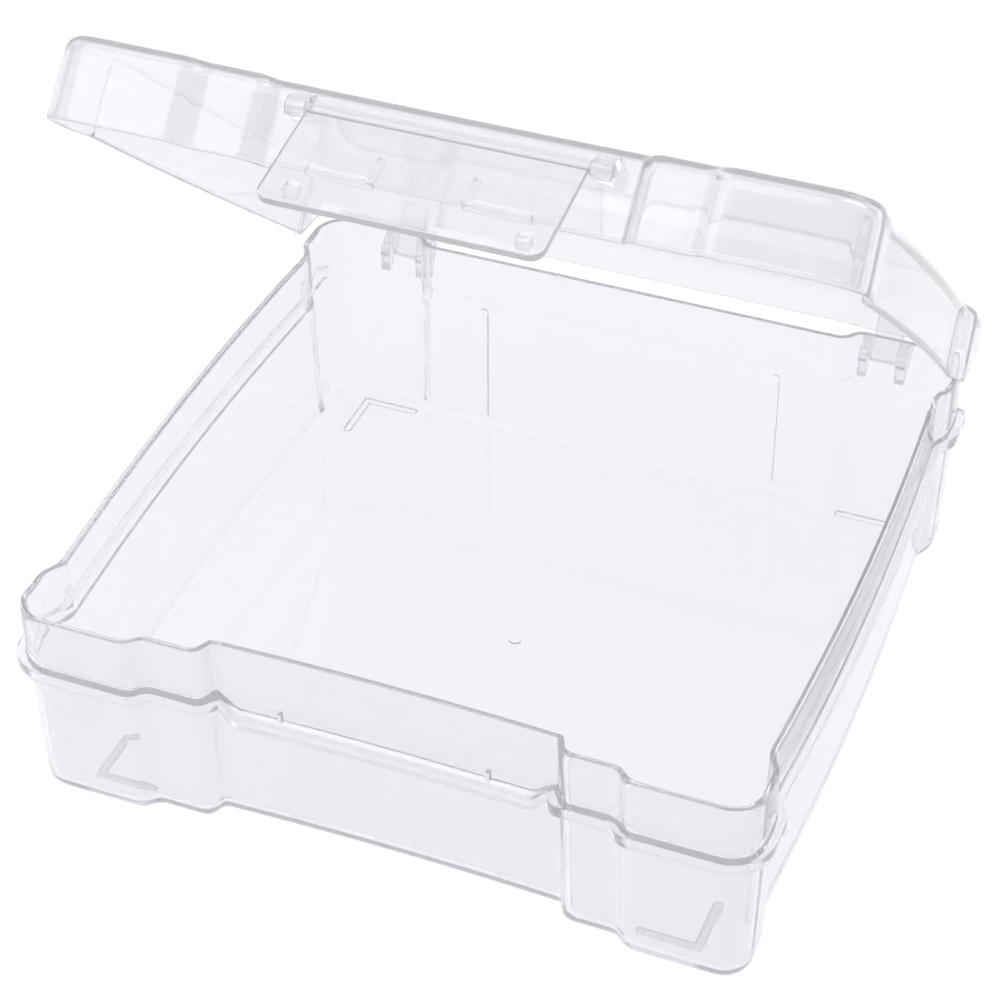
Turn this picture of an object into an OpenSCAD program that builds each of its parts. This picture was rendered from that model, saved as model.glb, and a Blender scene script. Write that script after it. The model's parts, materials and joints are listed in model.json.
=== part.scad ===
// Clear hinged storage case: a tray, a lid hinged at the back, and a latch that swings from the lid.
// Frame: origin at the middle of the tray's underside, +Z up, latch towards -Y.
// Everything is drawn shut; the lid and the latch are then swung to their stored opening angles.

/* [Tray] */
// Width over the corner blocks
case_w = 173; // [165:1:190]
// Depth over the corner blocks
case_d = 170; // [162:1:190]
// Height of the tray's rim
tray_h = 53; // [51:0.5:55]
// Thickness of the walls, the floor and the lid's plate
wall = 1.6; // [1.4:0.1:2]
// Radius of the four upright corners
corner_r = 8; // [6:0.5:10]

/* [Stepped front] */
// Half width of the recessed latch panel
latch_panel_x = 40; // [39:0.5:42]
// Half width to the start of the corner blocks
corner_block_x = 57.7; // [55:0.1:62]
// Depth of the step from a corner block to the panel beside it
corner_step = 3.1; // [2.5:0.1:4]
// Depth of the step from that panel to the latch panel
latch_step = 4.3; // [4:0.1:5]
// How far the latch panel bows inwards at its middle
front_bow = 0.8; // [0:0.1:1]

/* [Sides and back] */
// Length of a corner block along the side
block_len = 15.5; // [14:0.5:20]
// Depth of the side recess at its ends
side_step = 2.5; // [2:0.1:3]
// How far the side recess bows back outwards at its middle
side_bow = 2.2; // [0:0.1:2.4]
// Half width of the back recess
back_recess_x = 55.5; // [50:0.5:56]
// Depth of the back recess
back_step = 3.8; // [3:0.1:4]

/* [Flange] */
// Height of the flange's top, on which the shut lid lands
flange_z = 39.3; // [39:0.1:40]
// Thickness of the flange
flange_t = 3.3; // [3:0.1:3.6]

/* [Lid] */
// Height of the lid from the rim of its skirt to its top
lid_h = 18.4; // [18:0.1:20]
// Gap between the lid's skirt and the tray's wall
lid_gap = 0.5; // [0.4:0.05:0.6]
// Stored opening of the lid, 0 is shut
lid_open = 41.5; // [0:0.5:110]

/* [Latch] */
// Half width of the latch plate
latch_x = 30.2; // [28:0.1:31]
// Height of the plate's lower edge when shut
latch_bottom_z = 24.5; // [20:0.1:26]
// Thickness of the latch plate
latch_t = 1.8; // [1.6:0.1:2]
// Stored opening of the latch from the lid's front wall, 0 is shut
latch_open = 38; // [0:1:110]

/* [Hidden] */
$fn = 48;

clear = "lavender";
latch_run = 2;                  // sideways run of each sloped step in the outline
block_run = 2.9;
side_run = 4;
back_run = 3;
arc_steps = 10;
bow_steps = 8;
flange_out = lid_gap + wall;    // the flange ends flush with the lid's skirt
rim_gap = 0.3;
lid_z = flange_z + rim_gap;     // rim of the shut lid's skirt
lid_top = lid_z + lid_h;
lid_block_extra = 2.5;          // the lid's back corner blocks are longer, to clear the tray's as it swings
far = 2 * case_w;

half_w = case_w / 2;
half_d = case_d / 2;
panel_y = -half_d + corner_step;            // panels beside the latch panel
latch_y = panel_y + latch_step;             // latch panel
back_y = half_d - back_step;
flange_end_y = half_d - corner_r / 2;       // the back wall has no flange

// Lowered flange across the latch panel
keeper_x = 34;
keeper_end_x = latch_panel_x + 0.5;
keeper_top = flange_z - 4.4;
keeper_bottom = keeper_top - 3;
keeper_out = 3;

// Hinge across the back
hinge_x = 64.75;
hinge_y = half_d + 4.5;
hinge_z = 45;
lug_r = 3.2;
lug_w = 2.5;
arm_r = 3;
arm_w = 6.9;
hinge_gap = 0.3;
hinge_pin_r = 1.5;
hinge_bore_r = 1.57;
back_edge_z = 49;               // the lid's back wall stops above the hinge, so that it swings clear
back_edge_y = half_d - corner_r;

// Latch and its pivot, shut
plate_out_y = panel_y - flange_out;         // flush with the lid's panels
plate_in_y = plate_out_y + latch_t;
pivot_y = plate_in_y - 0.2;
pivot_z = 52.6;
plate_top_z = pivot_z + 0.5;
barrel_r = 1.6;
latch_pin_r = 1.2;
latch_bore_r = 1.26;
ear_r = 2.4;
ear_w = 4.4;
ear_gap = 0.4;
ear_top_z = 57;
feature_gap = 0.4;              // from the keeper to the hooks below it and the ribs above it
hook_x = 24.5;
rib_x0 = 9.4;
rib_x1 = 24;

// ---- outlines ----

// Points from p to q along a shallow curve that leaves the straight line by `bow` at its middle
function bowed(p, q, bow, n) =
    let (side = [q.y - p.y, p.x - q.x] / norm(q - p))
    [for (i = [0 : n]) let (t = i / n) p + t * (q - p) + 4 * t * (1 - t) * bow * side];

function corner_arc(cx, cy, from) =
    [for (i = [0 : arc_steps]) let (a = from + 90 * i / arc_steps)
        [cx + corner_r * cos(a), cy + corner_r * sin(a)]];

// Right half of the outline, counter-clockwise from the latch panel to the back
function half_outline(back_block) =
    let (side_x = half_w - side_step, front_y = -half_d + block_len, rear_y = half_d - back_block)
    concat(
        [for (p = bowed([-latch_panel_x, latch_y], [latch_panel_x, latch_y], -front_bow, 2 * bow_steps))
            if (p.x > 0.01) p],
        [[latch_panel_x + latch_run, panel_y],
         [corner_block_x - block_run, panel_y],
         [corner_block_x, -half_d]],
        corner_arc(half_w - corner_r, -half_d + corner_r, -90),
        [[half_w, front_y]],
        bowed([side_x, front_y + side_run], [side_x, rear_y - side_run], side_bow, bow_steps),
        [[half_w, rear_y]],
        corner_arc(half_w - corner_r, half_d - corner_r, 0),
        [[back_recess_x + back_run, half_d],
         [back_recess_x, back_y]]);

function whole(half) = concat(half, [for (i = [len(half) - 1 : -1 : 0]) [-half[i].x, half[i].y]]);

function unit(v) = v / norm(v);
function out_normal(a, b) = let (u = unit(b - a)) [u.y, -u.x];

// An outline with every edge moved outwards by d
function moved(points, d) = let (n = len(points))
    [for (i = [0 : n - 1])
        let (n1 = out_normal(points[(i + n - 1) % n], points[i]),
             n2 = out_normal(points[i], points[(i + 1) % n]))
        points[i] + d * (n1 + n2) / (1 + n1 * n2)];

outline = whole(half_outline(block_len));
lid_outline = whole(half_outline(block_len + lid_block_extra));

module slab(points, z0, z1) translate([0, 0, z0]) linear_extrude(z1 - z0) polygon(points);

// A profile of [y, z] points, as wide as w along X and centred at x
module side_profile(points, x, w)
    translate([x - w / 2, 0, 0]) rotate([90, 0, 90]) linear_extrude(w) polygon(points);

module x_rod(x, y, z, r, len) translate([x - len / 2, y, z]) rotate([0, 90, 0]) cylinder(r = r, h = len);

module both_sides() {
    children();
    mirror([1, 0, 0]) children();
}

// ---- stored opening angles ----

module swing(y, z, angle) translate([0, y, z]) rotate([-angle, 0, 0]) translate([0, -y, -z]) children();
module on_lid() swing(hinge_y, hinge_z, lid_open) children();
module on_latch() on_lid() swing(pivot_y, pivot_z, latch_open) children();

// ---- tray ----

// Shallow L-shaped grooves under the four corners of the floor
module corner_grooves() {
    corner = [74, 77.3];
    arm = 15.5;
    groove_w = 1.6;
    depth = 0.8;
    both_sides() for (back = [0, 1]) mirror([0, back, 0])
        translate([corner.x, corner.y, -1]) linear_extrude(1 + depth)
            polygon([[0, 0], [-arm, 0], [-arm, -groove_w], [-groove_w, -groove_w],
                     [-groove_w, -arm], [0, -arm]]);
}

module tray_shell() color(clear) difference() {
    slab(outline, 0, tray_h);
    slab(moved(outline, -wall), wall, tray_h + 1);
    corner_grooves();
}

// Flange round the front and both sides of the tray, interrupted at the latch panel
module tray_flange() color(clear) difference() {
    slab(moved(outline, flange_out), flange_z - flange_t, flange_z);
    slab(outline, 0, tray_h);
    translate([-keeper_end_x, -far, 0]) cube([2 * keeper_end_x, far, tray_h]);
    translate([-far, flange_end_y, 0]) cube([2 * far, far, tray_h]);
}

// Flange across the latch panel, which dips so that the hooks can reach under it,
// with two short upright ribs above it that centre the latch
module tray_latch_keeper() {
    tick_h = 2.6;
    tick_out = 0.8;
    tick_w = 1;
    top = [[-keeper_end_x, flange_z], [-keeper_x, keeper_top], [keeper_x, keeper_top],
           [keeper_end_x, flange_z]];
    bottom = [[keeper_end_x, flange_z - flange_t], [keeper_x, keeper_bottom],
              [-keeper_x, keeper_bottom], [-keeper_end_x, flange_z - flange_t]];
    color(clear) difference() {
        union() {
            intersection() {
                slab(moved(outline, keeper_out), 0, tray_h);
                rotate([90, 0, 0]) linear_extrude(far) polygon(concat(top, bottom));
            }
            both_sides() translate([hook_x - tick_w / 2, latch_y - tick_out, keeper_top - 1])
                cube([tick_w, tick_out + wall, tick_h + 1]);
        }
        slab(outline, 0, tray_h);
    }
}

// Two upright ribs on the inside of the back wall
module tray_back_ribs() {
    rib_x = 39.6;
    rib_w = 2.2;
    rib_d = 1.2;
    rib_top = 37.7;
    color(clear) both_sides()
        translate([rib_x - rib_w / 2, back_y - wall - rib_d, wall]) cube([rib_w, rib_d, rib_top - wall]);
}

module tray_hinge_lugs() {
    spacing = arm_w / 2 + hinge_gap + lug_w / 2;
    color(clear) both_sides() for (x = [hinge_x - spacing, hinge_x + spacing]) difference() {
        union() {
            x_rod(x, hinge_y, hinge_z, lug_r, lug_w);
            side_profile([[half_d, flange_z], [half_d + flange_out, flange_z],
                          [hinge_y, hinge_z - lug_r], [hinge_y, hinge_z + lug_r],
                          [half_d, hinge_z + lug_r / 2]], x, lug_w);
        }
        x_rod(x, hinge_y, hinge_z, hinge_bore_r, lug_w + 1);
    }
}

// ---- lid ----

module lid_outside() slab(moved(lid_outline, flange_out), lid_z, lid_top);

module lid_shell() color(clear) on_lid() difference() {
    lid_outside();
    slab(moved(lid_outline, lid_gap), lid_z - 1, lid_top - wall);
    translate([-far, back_edge_y, 0]) cube([2 * far, far, back_edge_z]);
}

// Arms down from the lid's back wall, each with the pin that turns in a pair of lugs
module lid_hinge_arms() {
    wall_y = half_d + flange_out;
    root_z = back_edge_z + 5.5;
    pin_len = arm_w + 2 * (hinge_gap + lug_w) - 0.6;
    color(clear) on_lid() both_sides() union() {
        x_rod(hinge_x, hinge_y, hinge_z, arm_r, arm_w);
        x_rod(hinge_x, hinge_y, hinge_z, hinge_pin_r, pin_len);
        side_profile([[wall_y, root_z], [wall_y, hinge_z + 1.6], [hinge_y, hinge_z],
                      [hinge_y + arm_r, hinge_z], [wall_y + 2.4, root_z]], hinge_x, arm_w);
    }
}

// Ears on the front wall of the lid, in which the latch's pins turn
module lid_latch_ears() {
    ear_x = latch_x + ear_gap + ear_w / 2;
    root_y = latch_y;
    color(clear) on_lid() both_sides() difference() {
        union() {
            x_rod(ear_x, pivot_y, pivot_z, ear_r, ear_w);
            side_profile([[pivot_y, pivot_z - ear_r], [root_y, pivot_z - ear_r], [root_y, ear_top_z],
                          [pivot_y, pivot_z + ear_r]], ear_x, ear_w);
        }
        x_rod(ear_x, pivot_y, pivot_z, latch_bore_r, ear_w + 1);
        lid_outside();
    }
}

// ---- latch ----

module latch_plate() {
    round_r = 3;
    pin_span = 2 * (latch_x + ear_gap + ear_w - 0.3);
    color(clear) on_latch() union() {
        difference() {
            translate([-latch_x, plate_out_y, latch_bottom_z])
                cube([2 * latch_x, latch_t, plate_top_z - latch_bottom_z]);
            both_sides() difference() {
                translate([latch_x - round_r, plate_out_y - 1, latch_bottom_z - 1])
                    cube([round_r + 1, latch_t + 2, round_r + 1]);
                translate([latch_x - round_r, plate_in_y + 2, latch_bottom_z + round_r])
                    rotate([90, 0, 0]) cylinder(r = round_r, h = latch_t + 4);
            }
        }
        x_rod(0, pivot_y, pivot_z, barrel_r, 2 * latch_x);
        x_rod(0, pivot_y, pivot_z, latch_pin_r, pin_span);
    }
}

// A block that stands on the inner face of the latch plate
module on_plate(x0, x1, z0, z1, depth) translate([x0, plate_in_y, z0]) cube([x1 - x0, depth, z1 - z0]);

// Hooks that reach under the lowered flange
module latch_hooks() {
    hook_w = 3.2;
    hook_h = 2.8;
    hook_d = 2.9;
    hook_top = keeper_bottom - feature_gap;
    color(clear) on_latch() both_sides()
        on_plate(hook_x - hook_w / 2, hook_x + hook_w / 2, hook_top - hook_h, hook_top, hook_d);
}

// Long ribs that sit above the lowered flange, each with a short upright rib at its inner end
module latch_catch_ribs() {
    rib_z = keeper_top + feature_gap;
    rib_t = 1.5;
    rib_d = 2.3;
    upright_top = 43.1;
    upright_d = 1.5;
    color(clear) on_latch() both_sides() union() {
        on_plate(rib_x0, rib_x1, rib_z, rib_z + rib_t, rib_d);
        on_plate(rib_x0, rib_x0 + rib_t, rib_z, upright_top, upright_d);
    }
}

tray_shell();
tray_flange();
tray_latch_keeper();
tray_back_ribs();
tray_hinge_lugs();
lid_shell();
lid_hinge_arms();
lid_latch_ears();
latch_plate();
latch_hooks();
latch_catch_ribs();
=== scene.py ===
# %% [markdown]
# # A clear hinged storage case
# The case is three mouldings: a deep tray, a shallow lid hinged along the back, and a latch flap
# that swings from the lid's front. The CAD frame fixes every size and every joint. This lesson
# models the mouldings again with the soft edges, draft and thin walls that real moulded plastic
# has, because a clear part is seen almost only by its edges.

# %% Load the fixed frame
import bmesh
import bpy
import json
import math
from mathutils import Matrix, Vector


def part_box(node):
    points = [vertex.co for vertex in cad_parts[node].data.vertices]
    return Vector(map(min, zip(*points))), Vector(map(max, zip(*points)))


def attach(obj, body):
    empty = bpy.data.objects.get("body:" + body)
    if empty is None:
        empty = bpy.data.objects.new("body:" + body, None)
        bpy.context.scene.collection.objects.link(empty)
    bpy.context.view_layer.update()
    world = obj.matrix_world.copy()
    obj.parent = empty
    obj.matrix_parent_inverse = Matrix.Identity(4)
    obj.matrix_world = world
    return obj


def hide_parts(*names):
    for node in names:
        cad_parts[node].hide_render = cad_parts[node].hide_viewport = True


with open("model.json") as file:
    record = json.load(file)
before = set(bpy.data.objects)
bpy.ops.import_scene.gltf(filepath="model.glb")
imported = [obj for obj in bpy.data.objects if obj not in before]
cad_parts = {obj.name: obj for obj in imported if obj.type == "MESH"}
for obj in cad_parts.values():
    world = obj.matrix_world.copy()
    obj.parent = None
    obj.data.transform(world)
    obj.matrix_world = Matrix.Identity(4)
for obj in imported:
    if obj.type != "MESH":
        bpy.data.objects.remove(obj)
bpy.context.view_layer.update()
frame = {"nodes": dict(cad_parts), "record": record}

# %% [markdown]
# ## Measures taken from the frame
# Sizes are read from the CAD boxes, so a change there is followed here. Everything is thought of
# in millimetres and turned to metres once, when a vertex is placed.

# %% Sizes
MM = 0.001


def box_mm(node):
    """Lowest and highest corners of a CAD node, in millimetres."""
    low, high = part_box(node)
    return low / MM, high / MM


shell_high = box_mm("tray_shell")[1]
flange_low, flange_high = box_mm("tray_flange")
keeper_low = box_mm("tray_latch_keeper")[0]
half_width, half_depth = shell_high.x, shell_high.y
rim_z = shell_high.z
wall = 1.6
flange_out = flange_high.x - half_width
flange_top, flange_bottom = flange_high.z, flange_low.z
keeper_bottom = keeper_low.z
keeper_h = 3.0
keeper_top = keeper_bottom + keeper_h
print("tray", round(2 * half_width, 1), "x", round(2 * half_depth, 1), "x", round(rim_z, 1), "mm")

# %% [markdown]
# The two hinges come from the joints. Each body is modelled shut and is then swung by the same
# angle that the joint would have to close, so the pieces meet the CAD exactly.

# %% Joints
joints = {joint["name"]: joint for joint in frame["record"]["behaviour"]["joints"]}


def closing_swing(name):
    """The turn that carries a shut body to its stored opening."""
    joint = joints[name]
    pivot = Vector(joint["pos_m"])
    angle = math.radians(-joint["range_deg"][0])
    turn = Matrix.Rotation(angle, 4, Vector(joint["axis"]))
    return Matrix.Translation(pivot) @ turn @ Matrix.Translation(-pivot)


lid_swing = closing_swing("lid_hinge")
latch_swing = closing_swing("latch_pivot") @ lid_swing
hinge = Vector(joints["lid_hinge"]["pos_m"]) / MM
shut_pivot = (lid_swing.inverted() @ Vector(joints["latch_pivot"]["pos_m"])) / MM
print("hinge at", [round(v, 1) for v in hinge], "shut latch pivot at", [round(v, 1) for v in shut_pivot])

# %% [markdown]
# ## The stepped outline
# Seen from above, the tray and the lid share one outline: proud corner blocks, slightly recessed
# sides that bow outwards, and a front that steps back twice towards the latch. It could be drawn
# as a curve, but a list of points is easier to offset, which is what a wall of even thickness
# needs.

# %% Outline points
latch_panel_x, latch_run = 40.0, 2.0
corner_block_x, block_run = 57.7, 2.9
corner_step, latch_step, front_bow = 3.1, 4.3, 0.8
block_len, side_run, side_step, side_bow = 15.5, 4.0, 2.5, 2.2
lid_block_len = block_len + 2.5
back_recess_x, back_run, back_step = 55.5, 3.0, 3.8
corner_r, corner_steps, side_steps = 8.0, 10, 12
panel_y = -half_depth + corner_step
latch_y = panel_y + latch_step
panel_stations = [6, 12, 18, 24, 28, 31, 33, 34.5, 36, 37.5, 38.8, latch_panel_x]


def quarter(cx, cy, start):
    """A quarter circle of outline points."""
    return [(cx + corner_r * math.cos(start + math.pi / 2 * i / corner_steps),
             cy + corner_r * math.sin(start + math.pi / 2 * i / corner_steps))
            for i in range(corner_steps + 1)]


def half_outline(back_block):
    """The right half of the outline, from the middle of the front to the back."""
    side_x = half_width - side_step
    front_y, rear_y = -half_depth + block_len, half_depth - back_block
    y0, y1 = front_y + side_run, rear_y - side_run
    front = [(x, latch_y + front_bow * (1 - (x / latch_panel_x) ** 2)) for x in panel_stations]
    side = []
    for i in range(side_steps + 1):
        t = i / side_steps
        side.append((side_x + 4 * side_bow * t * (1 - t), y0 + t * (y1 - y0)))
    return (front
            + [(latch_panel_x + latch_run, panel_y), (corner_block_x - block_run, panel_y),
               (corner_block_x, -half_depth)]
            + quarter(half_width - corner_r, -half_depth + corner_r, -math.pi / 2)
            + [(half_width, front_y)] + side + [(half_width, rear_y)]
            + quarter(half_width - corner_r, half_depth - corner_r, 0)
            + [(back_recess_x + back_run, half_depth), (back_recess_x, half_depth - back_step)])


def whole(half):
    return half + [(-x, y) for x, y in reversed(half)]


tray_outline = whole(half_outline(block_len))
lid_outline = whole(half_outline(lid_block_len))
print("outline points:", len(tray_outline), "tray,", len(lid_outline), "lid")

# %% [markdown]
# Moving every edge outwards by the same distance keeps the wall even round the steps. The sharp
# corners of the steps are then rounded a little, as a mould's corners always are.

# %% Offset and soften an outline
soft_steps = 4
soft_r = 2.0
soft_share = 0.45    # the most of an edge that a rounded corner may take
sharp_turn = math.radians(15)


def moved(points, d):
    """The outline with every edge moved outwards by d."""
    out, n = [], len(points)
    for i in range(n):
        here = Vector(points[i])
        a = (here - Vector(points[i - 1])).normalized()
        b = (Vector(points[(i + 1) % n]) - here).normalized()
        na, nb = Vector((a.y, -a.x)), Vector((b.y, -b.x))
        out.append(here + (na + nb) * (d / (1 + na.dot(nb))))
    return out


sharp = {}
for outline in (tray_outline, lid_outline):
    flags = []
    for i in range(len(outline)):
        a = Vector(outline[i]) - Vector(outline[i - 1])
        b = Vector(outline[(i + 1) % len(outline)]) - Vector(outline[i])
        flags.append(a.angle(b) > sharp_turn)
    sharp[id(outline)] = flags


def ring(outline, d):
    """One ring of the wall: the outline moved by d, its step corners softened."""
    points = moved(outline, d)
    out, n = [], len(points)
    for i, p in enumerate(points):
        if not sharp[id(outline)][i]:
            out.append(p)
            continue
        before, after = points[i - 1] - p, points[(i + 1) % n] - p
        reach = min(soft_r, before.length * soft_share, after.length * soft_share)
        start, end = p + before.normalized() * reach, p + after.normalized() * reach
        for k in range(soft_steps + 1):
            t = k / soft_steps
            out.append(start * (1 - t) ** 2 + p * (2 * t * (1 - t)) + end * t ** 2)
    return out


print("softened ring points:", len(ring(tray_outline, 0)))

# %% [markdown]
# ## Growing a thin-walled moulding
# A box this shape could be a solid with a Solidify modifier, but the rim, the floor's rounding
# and the flange would then all need repair. Instead one flat face is extruded again and again:
# up the outside, over the rim and down the inside. The result is one closed skin, which a clear
# material needs, because light is followed through the thickness of the plastic.

# %% Grow helper


def deselect():
    """Leaves edit mode and selects nothing."""
    if bpy.context.mode != "OBJECT":
        bpy.ops.object.mode_set(mode="OBJECT")
    bpy.ops.object.select_all(action="DESELECT")


def focus(piece):
    """Makes a piece the only selected one, and the active one."""
    deselect()
    piece.select_set(True)
    bpy.context.view_layer.objects.active = piece


def edit_all():
    """Enters edit mode with everything selected."""
    bpy.ops.object.mode_set(mode="EDIT")
    bpy.ops.mesh.select_all(action="SELECT")


def named(name):
    """Names the object that an operator just made."""
    piece = bpy.context.active_object
    piece.name = piece.data.name = name
    return piece


def grow(name, outline, profile, place):
    """Extrudes one face through the (offset, height) pairs of profile. place turns a point of the
    ring, the point of the wall beside it, the offset and the height to a vertex."""
    foot = ring(outline, 0)
    rings = [[place(p, q, d, z) for p, q in zip(ring(outline, d), foot)] for d, z in profile]
    deselect()
    bpy.ops.mesh.primitive_circle_add(vertices=len(rings[0]), radius=half_width * MM, fill_type="NGON")
    piece = named(name)
    bpy.ops.object.mode_set(mode="EDIT")
    mesh = bmesh.from_edit_mesh(piece.data)
    mesh.verts.ensure_lookup_table()
    order = [loop.vert for loop in mesh.faces[:][0].loops]
    for vert, co in zip(order, rings[0]):
        vert.co = co
    spot = {vert.index: i for i, vert in enumerate(order)}
    bmesh.update_edit_mesh(piece.data)
    for points in rings[1:]:
        bpy.ops.mesh.extrude_region_move()
        mesh = bmesh.from_edit_mesh(piece.data)
        mesh.verts.index_update()
        grown = {}
        for vert in mesh.verts:
            if vert.select:
                old = [e.other_vert(vert) for e in vert.link_edges if not e.other_vert(vert).select]
                grown[vert.index] = spot[old[0].index]
        for vert in mesh.verts:
            if vert.select:
                vert.co = points[grown[vert.index]]
        spot = grown
        bmesh.update_edit_mesh(piece.data)
    bpy.ops.mesh.select_all(action="SELECT")
    bpy.ops.mesh.normals_make_consistent(inside=False)
    bpy.ops.object.mode_set(mode="OBJECT")
    print(name, len(piece.data.vertices), "vertices,", len(piece.data.polygons), "faces")
    return piece


# %% [markdown]
# ## The tray
# The wall leans in by a degree or so below the flange, so that the moulding leaves its mould. The
# flange is part of the same skin, and stops at the back corners. Across the latch panel it dips
# in an S at each end and stands out a little further, which gives the hooks something to hold.

# %% Tray profile and the flange's dip
draft = 1.2
dip = flange_top - keeper_top
dip_x0, dip_x1 = 34.0, 40.5
dip_out = 0.9
beside_flange, dip_depth = 0.7, 8
fade, drawn_in = 2.0, 0.97    # the flange runs out over 2 mm at the back corners


def ease(t):
    t = min(1.0, max(0.0, t))
    return t * t * (3 - 2 * t)


def tray_place(p, foot, d, z):
    """Lowers and widens the flange across the latch panel, and draws it in at the back."""
    x, y = p
    by_flange = flange_bottom - beside_flange < z < flange_top + beside_flange
    if by_flange and d > 0:
        x, y = p.lerp(foot, drawn_in * ease((foot.y - flange_high.y + fade) / fade))
    if by_flange and y < latch_y + dip_depth:
        share = ease((dip_x1 - abs(x)) / (dip_x1 - dip_x0))
        z -= share * dip
        y -= share * dip_out * max(0.0, d) / flange_out
    return Vector((x, y, z)) * MM


tray_profile = [
    (-4.4, 0.0), (-3.0, 0.25), (-2.0, 0.95), (-1.35, 2.1), (-draft, 3.4), (-draft + 0.03, 4.4),
    (-0.3, flange_bottom - 1.5), (-0.25, flange_bottom - 0.5), (-0.05, flange_bottom - 0.1),
    (flange_out - 0.45, flange_bottom), (flange_out - 0.1, flange_bottom + 0.15),
    (flange_out, flange_bottom + 0.5), (flange_out, flange_top - 0.5),
    (flange_out - 0.1, flange_top - 0.15), (flange_out - 0.45, flange_top),
    (0.15, flange_top), (-0.05, flange_top + 0.3), (-0.06, flange_top + 1.1),
    (-0.1, rim_z - 1.6), (-0.1, rim_z - 0.7), (-0.25, rim_z - 0.25), (-0.6, rim_z), (-1.1, rim_z),
    (-1.45, rim_z - 0.25), (-wall, rim_z - 0.7), (-wall - 0.02, rim_z - 1.6),
    (-wall - 0.98, 6.0), (-wall - 1.0, 4.8), (-wall - 1.15, 3.3), (-wall - 1.9, 2.2),
    (-wall - 3.2, 1.65), (-wall - 4.6, wall)]
tray = grow("tray_body", tray_outline, tray_profile, tray_place)

# %% [markdown]
# Shallow L-shaped grooves lie under the floor's four corners. Each L is cut by two softened boxes,
# one for each arm, and the Boolean modifier takes them out of the floor.

# %% Boxes, cutters and grooves


def block(name, low, high, soften=0.0, steps=2):
    """A cube primitive brought to a box in millimetres, with softened edges."""
    low, high = Vector(low), Vector(high)
    deselect()
    bpy.ops.mesh.primitive_cube_add(size=1)
    piece = named(name)
    size, centre = high - low, (low + high) / 2
    piece.data.transform(Matrix.Translation(centre * MM) @ Matrix.Diagonal((*(size * MM), 1)))
    if soften:
        edit_all()
        bpy.ops.mesh.bevel(offset=soften * MM, segments=steps, affect="EDGES")
        bpy.ops.object.mode_set(mode="OBJECT")
    return piece


def combine(piece, tool, operation):
    """Applies a Boolean with tool, then removes tool."""
    focus(piece)
    modifier = piece.modifiers.new(operation.lower(), "BOOLEAN")
    modifier.operation, modifier.solver, modifier.object = operation, "EXACT", tool
    bpy.ops.object.modifier_apply(modifier=modifier.name)
    bpy.data.objects.remove(tool, do_unlink=True)


groove_x, groove_y, groove_len, groove_w, groove_deep = 74.0, 77.3, 15.5, 2.2, 0.8
cutter_low, cutter_soft, cutter_steps = -2, 0.7, 3
for sx in (-1, 1):
    for sy in (-1, 1):
        for dx, dy in ((groove_len, groove_w), (groove_w, groove_len)):
            xs = sorted((sx * groove_x, sx * (groove_x - dx)))
            ys = sorted((sy * groove_y, sy * (groove_y - dy)))
            cutter = block("cutter", (xs[0], ys[0], cutter_low), (xs[1], ys[1], groove_deep),
                           cutter_soft, cutter_steps)
            combine(tray, cutter, "DIFFERENCE")
print("tray after its grooves:", len(tray.data.vertices), "vertices")

# %% [markdown]
# Two upright ribs stiffen the back wall, two short ones stand above the dipped flange, and the
# gate, where the plastic entered the mould, leaves a small round mark in the middle of the floor.
# The ribs are softened blocks and the mark a short cylinder, each sunk a little into the wall and made one
# with it.

# %% Ribs and gate mark
ribs_low, ribs_high = box_mm("tray_back_ribs")
rib_w, rib_front, rib_back, rib_sunk, rib_lean = 2.2, 0.35, 0.9, 0.4, 1.0
rib_soft, rib_soft_steps = 0.7, 3
tick_x, tick_w, tick_h, tick_out, tick_in, tick_sunk, tick_soft = 24.5, 1.0, 2.6, 0.7, 1.0, 0.6, 0.25
gate_r, gate_h = 1.6, 1.2
for sx in (-1, 1):
    x = sx * (ribs_high.x - rib_w / 2)
    rib = block("rib", (x - rib_w / 2, ribs_low.y + rib_front, wall - rib_sunk),
                (x + rib_w / 2, ribs_high.y + rib_back, ribs_high.z), rib_soft, rib_soft_steps)
    for vert in rib.data.vertices:
        vert.co.y -= (1 - vert.co.z / MM / rim_z) * rib_lean * MM
    combine(tray, rib, "UNION")
    x = sx * tick_x
    tick = block("tick", (x - tick_w / 2, latch_y - tick_out, keeper_top - tick_sunk),
                 (x + tick_w / 2, latch_y + tick_in, keeper_top + tick_h), tick_soft)
    combine(tray, tick, "UNION")
deselect()
bpy.ops.mesh.primitive_cylinder_add(vertices=24, radius=gate_r * MM, depth=gate_h * MM,
                                    location=(0, 0, wall * MM))
gate = named("gate")
bpy.ops.object.transform_apply(location=True, rotation=False, scale=False)
combine(tray, gate, "UNION")
weld = 0.1    # points closer than this, left where cutters cross, become one
edit_all()
bpy.ops.mesh.remove_doubles(threshold=weld * MM)
bpy.ops.object.mode_set(mode="OBJECT")
print("tray with ribs:", len(tray.data.vertices), "vertices")

# %% [markdown]
# ## The lid
# The lid is grown in the same way, from the middle of its top, out over a rounded edge, down the
# skirt and back up the inside. Behind the hinge line its skirt is shorter, so that it can swing
# past the tray's back corners.

# %% Lid profile
lid_rest, lid_h = 0.3, 18.4
skirt_z = flange_top + lid_rest
plate_z = skirt_z + lid_h
lid_gap = 0.5
back_edge_z = 49.0
back_edge_y = half_depth - corner_r
skirt_draft = 0.4
skirt_rim, rise_start, rise_run = 2, 1.5, 2.5


def lid_place(p, foot, d, z):
    """Raises the skirt's rim behind the hinge line, then swings the lid open."""
    x, y = p
    if z < skirt_z + skirt_rim:
        z += ease((y - back_edge_y + rise_start) / rise_run) * (back_edge_z - skirt_z)
    return lid_swing @ (Vector((x, y, z)) * MM)


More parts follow.
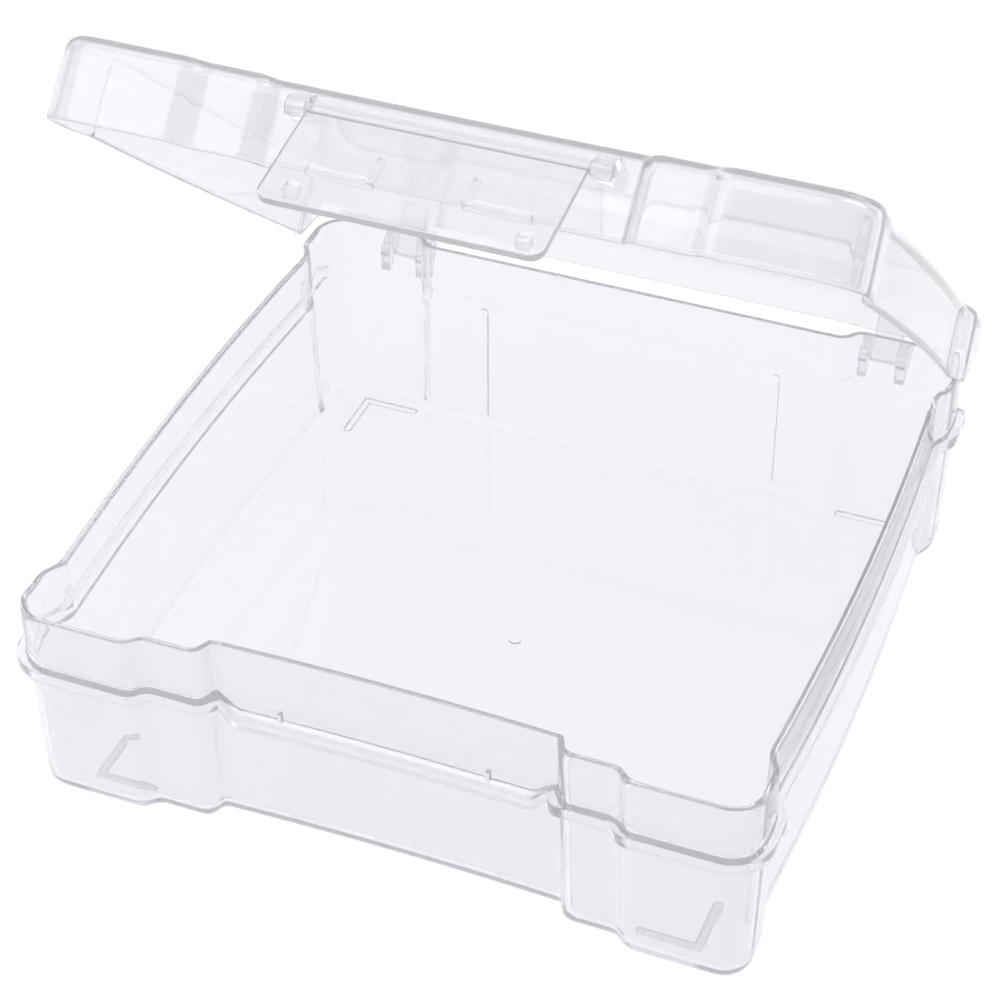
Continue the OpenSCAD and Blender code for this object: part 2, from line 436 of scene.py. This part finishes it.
lid_out = lid_gap + wall
lid_profile = [
    (-1.6, plate_z), (-0.4, plate_z - 0.15), (0.55, plate_z - 0.65), (1.2, plate_z - 1.4),
    (1.55, plate_z - 2.3), (lid_out - skirt_draft, plate_z - 3.3), (lid_out - skirt_draft, plate_z - 4.2),
    (lid_out, skirt_z + 1.5), (lid_out, skirt_z + 0.55), (lid_out - 0.15, skirt_z + 0.15),
    (lid_out - 0.5, skirt_z),
    (lid_gap + 0.5, skirt_z), (lid_gap + 0.15, skirt_z + 0.15), (lid_gap, skirt_z + 0.55),
    (lid_gap, skirt_z + 1.5), (lid_gap - skirt_draft, plate_z - 4.5), (lid_gap - skirt_draft, plate_z - 3.6),
    (-0.2, plate_z - 2.6), (-0.8, plate_z - 1.95), (-1.8, plate_z - wall - 0.05), (-3.2, plate_z - wall)]
lid = grow("lid_body", lid_outline, lid_profile, lid_place)

# %% [markdown]
# ## The latch
# The latch is a flat plate with a round barrel along its top edge. A plate and a cylinder would
# show a seam inside clear plastic, so its side profile is drawn once and extruded across, and the
# two free corners are bevelled round.

# %% Latch plate
latch_half = 30.2
latch_t = 1.8
plate_out_y = panel_y - flange_out
plate_in_y = plate_out_y + latch_t
latch_bottom, barrel_r = 24.5, 1.6
latch_round, latch_round_steps = 3.0, 6
barrel_steps, barrel_start, barrel_turn = 14, -60, 270
plate_soft, bevel_angle = 0.35, math.radians(50)
near = 0.1    # two measures closer than this are the same
profile = [(plate_out_y, latch_bottom), (plate_in_y, latch_bottom), (plate_in_y, shut_pivot.z - barrel_r)]
for i in range(barrel_steps + 1):
    a = math.radians(barrel_start + barrel_turn * i / barrel_steps)
    profile.append((shut_pivot.y + barrel_r * math.cos(a), shut_pivot.z + barrel_r * math.sin(a)))
deselect()
bpy.ops.mesh.primitive_circle_add(vertices=len(profile), radius=0.01, fill_type="NGON")
plate = named("latch_plate_body")
bpy.ops.object.mode_set(mode="EDIT")
mesh = bmesh.from_edit_mesh(plate.data)
for loop, (y, z) in zip(mesh.faces[:][0].loops, profile):
    loop.vert.co = Vector((-latch_half, y, z)) * MM
bmesh.update_edit_mesh(plate.data)
bpy.ops.mesh.extrude_region_move(TRANSFORM_OT_translate={"value": (2 * latch_half * MM, 0, 0)})
bpy.ops.mesh.select_all(action="SELECT")
bpy.ops.mesh.normals_make_consistent(inside=False)
bpy.ops.mesh.select_all(action="DESELECT")
bpy.ops.mesh.select_mode(type="EDGE")
mesh = bmesh.from_edit_mesh(plate.data)
corners = 0
for edge in mesh.edges:
    a, b = edge.verts[0].co / MM, edge.verts[1].co / MM
    if abs(a.x - b.x) < near and max(abs(a.z - latch_bottom), abs(b.z - latch_bottom)) < near:
        edge.select_set(True)
        corners += 1
bmesh.update_edit_mesh(plate.data)
bpy.ops.mesh.bevel(offset=latch_round * MM, segments=latch_round_steps, affect="EDGES")
bpy.ops.mesh.select_mode(type="VERT")
bpy.ops.object.mode_set(mode="OBJECT")
soft = plate.modifiers.new("soft", "BEVEL")
soft.width, soft.segments, soft.limit_method, soft.angle_limit = plate_soft * MM, 2, "ANGLE", bevel_angle
focus(plate)
bpy.ops.object.modifier_apply(modifier="soft")
print("latch plate:", corners, "corners rounded,", len(plate.data.vertices), "vertices")

# %% [markdown]
# On its inner face the latch has two long catch ribs with a short upright at their inner ends, and
# below them two hooks. Its pins stand out of the barrel's ends and turn in the lid's ears.

# %% Latch ribs, hooks and pins
hook_x, hook_w, hook_h, hook_d = 24.5, 3.2, 2.8, 2.9
rib_x0, rib_x1, rib_t, rib_d, upright_top, upright_d = 9.4, 24.0, 1.5, 2.3, 43.1, 1.5
hold_gap, sunk, strip_soft = 0.4, 0.3, 0.3
rib_z, hook_top = keeper_top + hold_gap, keeper_bottom - hold_gap
pin_r, pin_len, pin_sunk = 1.2, 4.5, 1


def add_strip(side, x0, x1, z0, z1, deep):
    """Adds a softened block to the latch's inner face, on one side of its middle."""
    xs = sorted((side * x0, side * x1))
    strip = block("strip", (xs[0], plate_in_y - sunk, z0), (xs[1], plate_in_y + deep, z1), strip_soft)
    combine(plate, strip, "UNION")


for sx in (-1, 1):
    add_strip(sx, hook_x - hook_w / 2, hook_x + hook_w / 2, hook_top - hook_h, hook_top, hook_d)
    add_strip(sx, rib_x0, rib_x1, rib_z, rib_z + rib_t, rib_d)
    add_strip(sx, rib_x0, rib_x0 + rib_t, rib_z + rib_t / 2, upright_top, upright_d)
    deselect()
    bpy.ops.mesh.primitive_cylinder_add(vertices=32, radius=pin_r * MM, depth=(pin_len + pin_sunk) * MM)
    pin = named("pin")
    edit_all()
    bpy.ops.transform.rotate(value=math.pi / 2, orient_axis="Y", center_override=(0, 0, 0))
    bpy.ops.object.mode_set(mode="OBJECT")
    centre = Vector((sx * (latch_half + (pin_len - pin_sunk) / 2), shut_pivot.y, shut_pivot.z))
    pin.data.transform(Matrix.Translation(centre * MM))
    combine(plate, pin, "UNION")
plate.data.transform(latch_swing)
print("latch with ribs and pins:", len(plate.data.vertices), "vertices")

# %% [markdown]
# ## Hinge lugs, hinge arms and latch ears
# These small brackets have the right shape in the CAD, bores and pins included. Copies of them
# get their doubled vertices merged and their edges softened, so that they catch the light.

# %% Softened copies of the brackets
doubled, nearly_flat, bracket_soft = 0.01, math.radians(2), 0.2


def softened(node, name, width):
    """A welded copy of a CAD node with its edges softened by width."""
    source = frame["nodes"][node]
    piece = bpy.data.objects.new(name, source.data.copy())
    bpy.context.scene.collection.objects.link(piece)
    piece.data.name = name
    focus(piece)
    edit_all()
    bpy.ops.mesh.remove_doubles(threshold=doubled * MM)
    bpy.ops.mesh.dissolve_limited(angle_limit=nearly_flat)
    bpy.ops.object.mode_set(mode="OBJECT")
    edge = piece.modifiers.new("edge", "BEVEL")
    edge.width, edge.segments, edge.limit_method, edge.angle_limit = width * MM, 2, "ANGLE", bevel_angle
    bpy.ops.object.modifier_apply(modifier="edge")
    print(name, len(piece.data.vertices), "vertices")
    return piece


lugs = softened("tray_hinge_lugs", "hinge_lugs", bracket_soft)
arms = softened("lid_hinge_arms", "hinge_arms", bracket_soft)
ears = softened("lid_latch_ears", "latch_ears", bracket_soft)

# %% [markdown]
# ## Clear moulded plastic
# The case is clear styrene acrylonitrile or polystyrene, injection moulded. To the eye it is
# colourless where it is thin and a cool lavender grey where light runs along it, at rims, steps
# and corners. The material bends light as the real plastic does, and its volume absorbs a little
# of the warm light, so the tint grows by itself with the length of plastic looked through.

# %% Colours and node helper


def srgb(code):
    """An sRGB hex colour as linear red, green, blue and alpha."""
    parts = [int(code[i:i + 2], 16) / 255 for i in (0, 2, 4)]
    return tuple(c / 12.92 if c <= 0.04045 else ((c + 0.055) / 1.055) ** 2.4 for c in parts) + (1.0,)


def add(tree, kind, settings=None, links=None):
    """Adds a node with its settings and the links into its sockets."""
    node = tree.nodes.new(kind)
    for key, value in (settings or {}).items():
        if hasattr(node, key):
            setattr(node, key, value)
        else:
            node.inputs[key].default_value = value
    for key, source in (links or {}).items():
        tree.links.new(source, node.inputs[key])
    return node


# %% [markdown]
# A real moulding is also slightly hazy, so a share of the surface is plain pale plastic. Without
# it, light trapped inside the walls would end as black lines. Two last mixes let lamp light and
# scattered light go straight through, because the floor under a clear case stays bright.

# %% Clear plastic


def clear_plastic(name, body, haze, flow_mm):
    """Clear plastic with a pale haze, and a faint ripple from the way it flowed into the mould."""
    material = bpy.data.materials.new(name)
    material.use_nodes = True
    tree = material.node_tree
    tree.nodes.clear()
    place = add(tree, "ShaderNodeTexCoord")
    flow = add(tree, "ShaderNodeTexNoise", {"Scale": 1000 / flow_mm, "Detail": 2.0},
               {"Vector": place.outputs["Object"]})
    gloss = add(tree, "ShaderNodeMapRange", {"To Min": 0.015, "To Max": 0.06}, {"Value": flow.outputs["Fac"]})
    ripple = add(tree, "ShaderNodeBump", {"Strength": 0.06, "Distance": 0.0004},
                 {"Height": flow.outputs["Fac"]})
    shader = add(tree, "ShaderNodeBsdfPrincipled",
                 {"Base Color": srgb(body), "IOR": 1.49, "Transmission Weight": 1 - haze},
                 {"Roughness": gloss.outputs["Result"], "Normal": ripple.outputs["Normal"]})
    rays = add(tree, "ShaderNodeLightPath")
    lamps = add(tree, "ShaderNodeBsdfTransparent", {"Color": srgb("FDFDFE")})
    shaded = add(tree, "ShaderNodeMixShader", None,
                 {0: rays.outputs["Is Diffuse Ray"], 1: shader.outputs["BSDF"], 2: lamps.outputs["BSDF"]})
    seen = add(tree, "ShaderNodeMixShader", None,
               {0: rays.outputs["Is Shadow Ray"], 1: shaded.outputs["Shader"], 2: lamps.outputs["BSDF"]})
    depth = add(tree, "ShaderNodeVolumeAbsorption", {"Color": srgb("B9BBD2"), "Density": 2.0})
    add(tree, "ShaderNodeOutputMaterial", None,
        {"Surface": seen.outputs["Shader"], "Volume": depth.outputs["Volume"]})
    return material


tray_clear = clear_plastic("tray_clear_plastic", "F4F4F6", 0.15, 28)
lid_clear = clear_plastic("lid_clear_plastic", "F4F4F6", 0.15, 28)
latch_clear = clear_plastic("latch_clear_plastic", "F4F4F6", 0.15, 14)

# %% [markdown]
# Each piece is shaded smooth except at real edges. Weighted normals then keep the flat walls flat
# beside their rounded edges, which matters here, because every bend in a normal bends the view
# through the wall. Every piece rides the body it belongs to and takes the place of its CAD nodes.

# %% Finish and bodies
smooth_angle, flat_weight = math.radians(32), 90
for piece, body, slot, material, nodes in (
        (tray, "tray", "tray_clear", tray_clear,
         ("tray_shell", "tray_flange", "tray_latch_keeper", "tray_back_ribs")),
        (lugs, "tray", "tray_clear", tray_clear, ("tray_hinge_lugs",)),
        (lid, "lid", "lid_clear", lid_clear, ("lid_shell",)),
        (arms, "lid", "lid_clear", lid_clear, ("lid_hinge_arms",)),
        (ears, "lid", "lid_clear", lid_clear, ("lid_latch_ears",)),
        (plate, "latch", "latch_clear", latch_clear, ("latch_plate", "latch_hooks", "latch_catch_ribs"))):
    piece.data.materials.clear()
    piece.data.materials.append(material)
    focus(piece)
    bpy.ops.object.shade_smooth_by_angle(angle=smooth_angle)
    level = piece.modifiers.new("level", "WEIGHTED_NORMAL")
    level.keep_sharp, level.weight = True, flat_weight
    bpy.ops.object.modifier_apply(modifier="level")
    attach(piece, body)
    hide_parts(*nodes)
print("pieces:", [piece.name for piece in (tray, lugs, lid, arms, ears, plate)])

# %% [markdown]
# ## Floor and light
# Clear plastic shows what is around it. The studio is white all over with a cooler, darker band
# near the horizon, which is what draws the lavender lines along rims and corners.

# %% Studio floor
deselect()
bpy.ops.mesh.primitive_plane_add(size=6, location=(0, 0, -0.0002))
floor = named("studio_floor")
paper = bpy.data.materials.new("studio_paper")
paper.use_nodes = True
paper_shader = paper.node_tree.nodes["Principled BSDF"]
paper_shader.inputs["Base Color"].default_value = srgb("FCFCFE")
paper_shader.inputs["Roughness"].default_value = 0.9
floor.data.materials.append(paper)

# %% [markdown]
# The sky's colour is a ramp over height. Two large, weak area lights add soft highlights on the
# corners without making the white floor too bright.

# %% Studio light
world = bpy.data.worlds.new("studio")
bpy.context.scene.world = world
world.use_nodes = True
sky = world.node_tree
sky.nodes.clear()
direction = add(sky, "ShaderNodeTexCoord")
height = add(sky, "ShaderNodeSeparateXYZ", None, {"Vector": direction.outputs["Generated"]})
ramp = add(sky, "ShaderNodeValToRGB", None, {"Fac": height.outputs["Z"]})
ramp.color_ramp.elements[0].position, ramp.color_ramp.elements[0].color = 0.0, srgb("D6D8E2")
ramp.color_ramp.elements[1].position, ramp.color_ramp.elements[1].color = 0.35, srgb("FFFFFF")
glow = add(sky, "ShaderNodeBackground", {"Strength": 0.85}, {"Color": ramp.outputs["Color"]})
add(sky, "ShaderNodeOutputWorld", None, {"Surface": glow.outputs["Background"]})


def softbox(name, place, aim, size, watts):
    """A square area light that faces a point."""
    deselect()
    bpy.ops.object.light_add(type="AREA", location=place)
    light = bpy.context.active_object
    light.name = name
    light.data.size, light.data.energy = size, watts
    light.rotation_euler = (Vector(aim) - Vector(place)).to_track_quat("-Z", "Y").to_euler()


softbox("key_softbox", (-0.6, -0.5, 1.1), (0, 0, 0.05), 0.9, 4.2)
softbox("back_softbox", (0.5, 0.9, 0.9), (0, 0, 0.05), 0.7, 2.4)

# %% [markdown]
# ## Camera
# A long lens looks down on the case from its front right.

# %% Camera
azimuth, elevation, roll = math.radians(22.05), math.radians(39.29), math.radians(-0.53)
aim = Vector((-9.99, 15.67, 30.83)) * MM
distance, lens = 0.6779, 100.73
back = Vector((math.sin(azimuth) * math.cos(elevation), -math.cos(azimuth) * math.cos(elevation),
               math.sin(elevation)))
deselect()
bpy.ops.object.camera_add(location=aim + back * distance)
camera = bpy.context.active_object
camera.name = "studio_camera"
camera.data.lens, camera.data.sensor_width = lens, 36.0
facing = (-back).to_track_quat("-Z", "Y").to_matrix()
camera.rotation_euler = (facing @ Matrix.Rotation(roll, 3, "Z")).to_euler()
camera.data.clip_start, camera.data.clip_end = 0.01, 20.0
bpy.context.scene.camera = camera
bpy.context.scene.view_settings.view_transform = "Standard"
light_turns = 28    # light trapped in a clear wall turns many times before it comes out
bpy.context.scene.cycles.max_bounces = light_turns
bpy.context.scene.cycles.transmission_bounces = light_turns
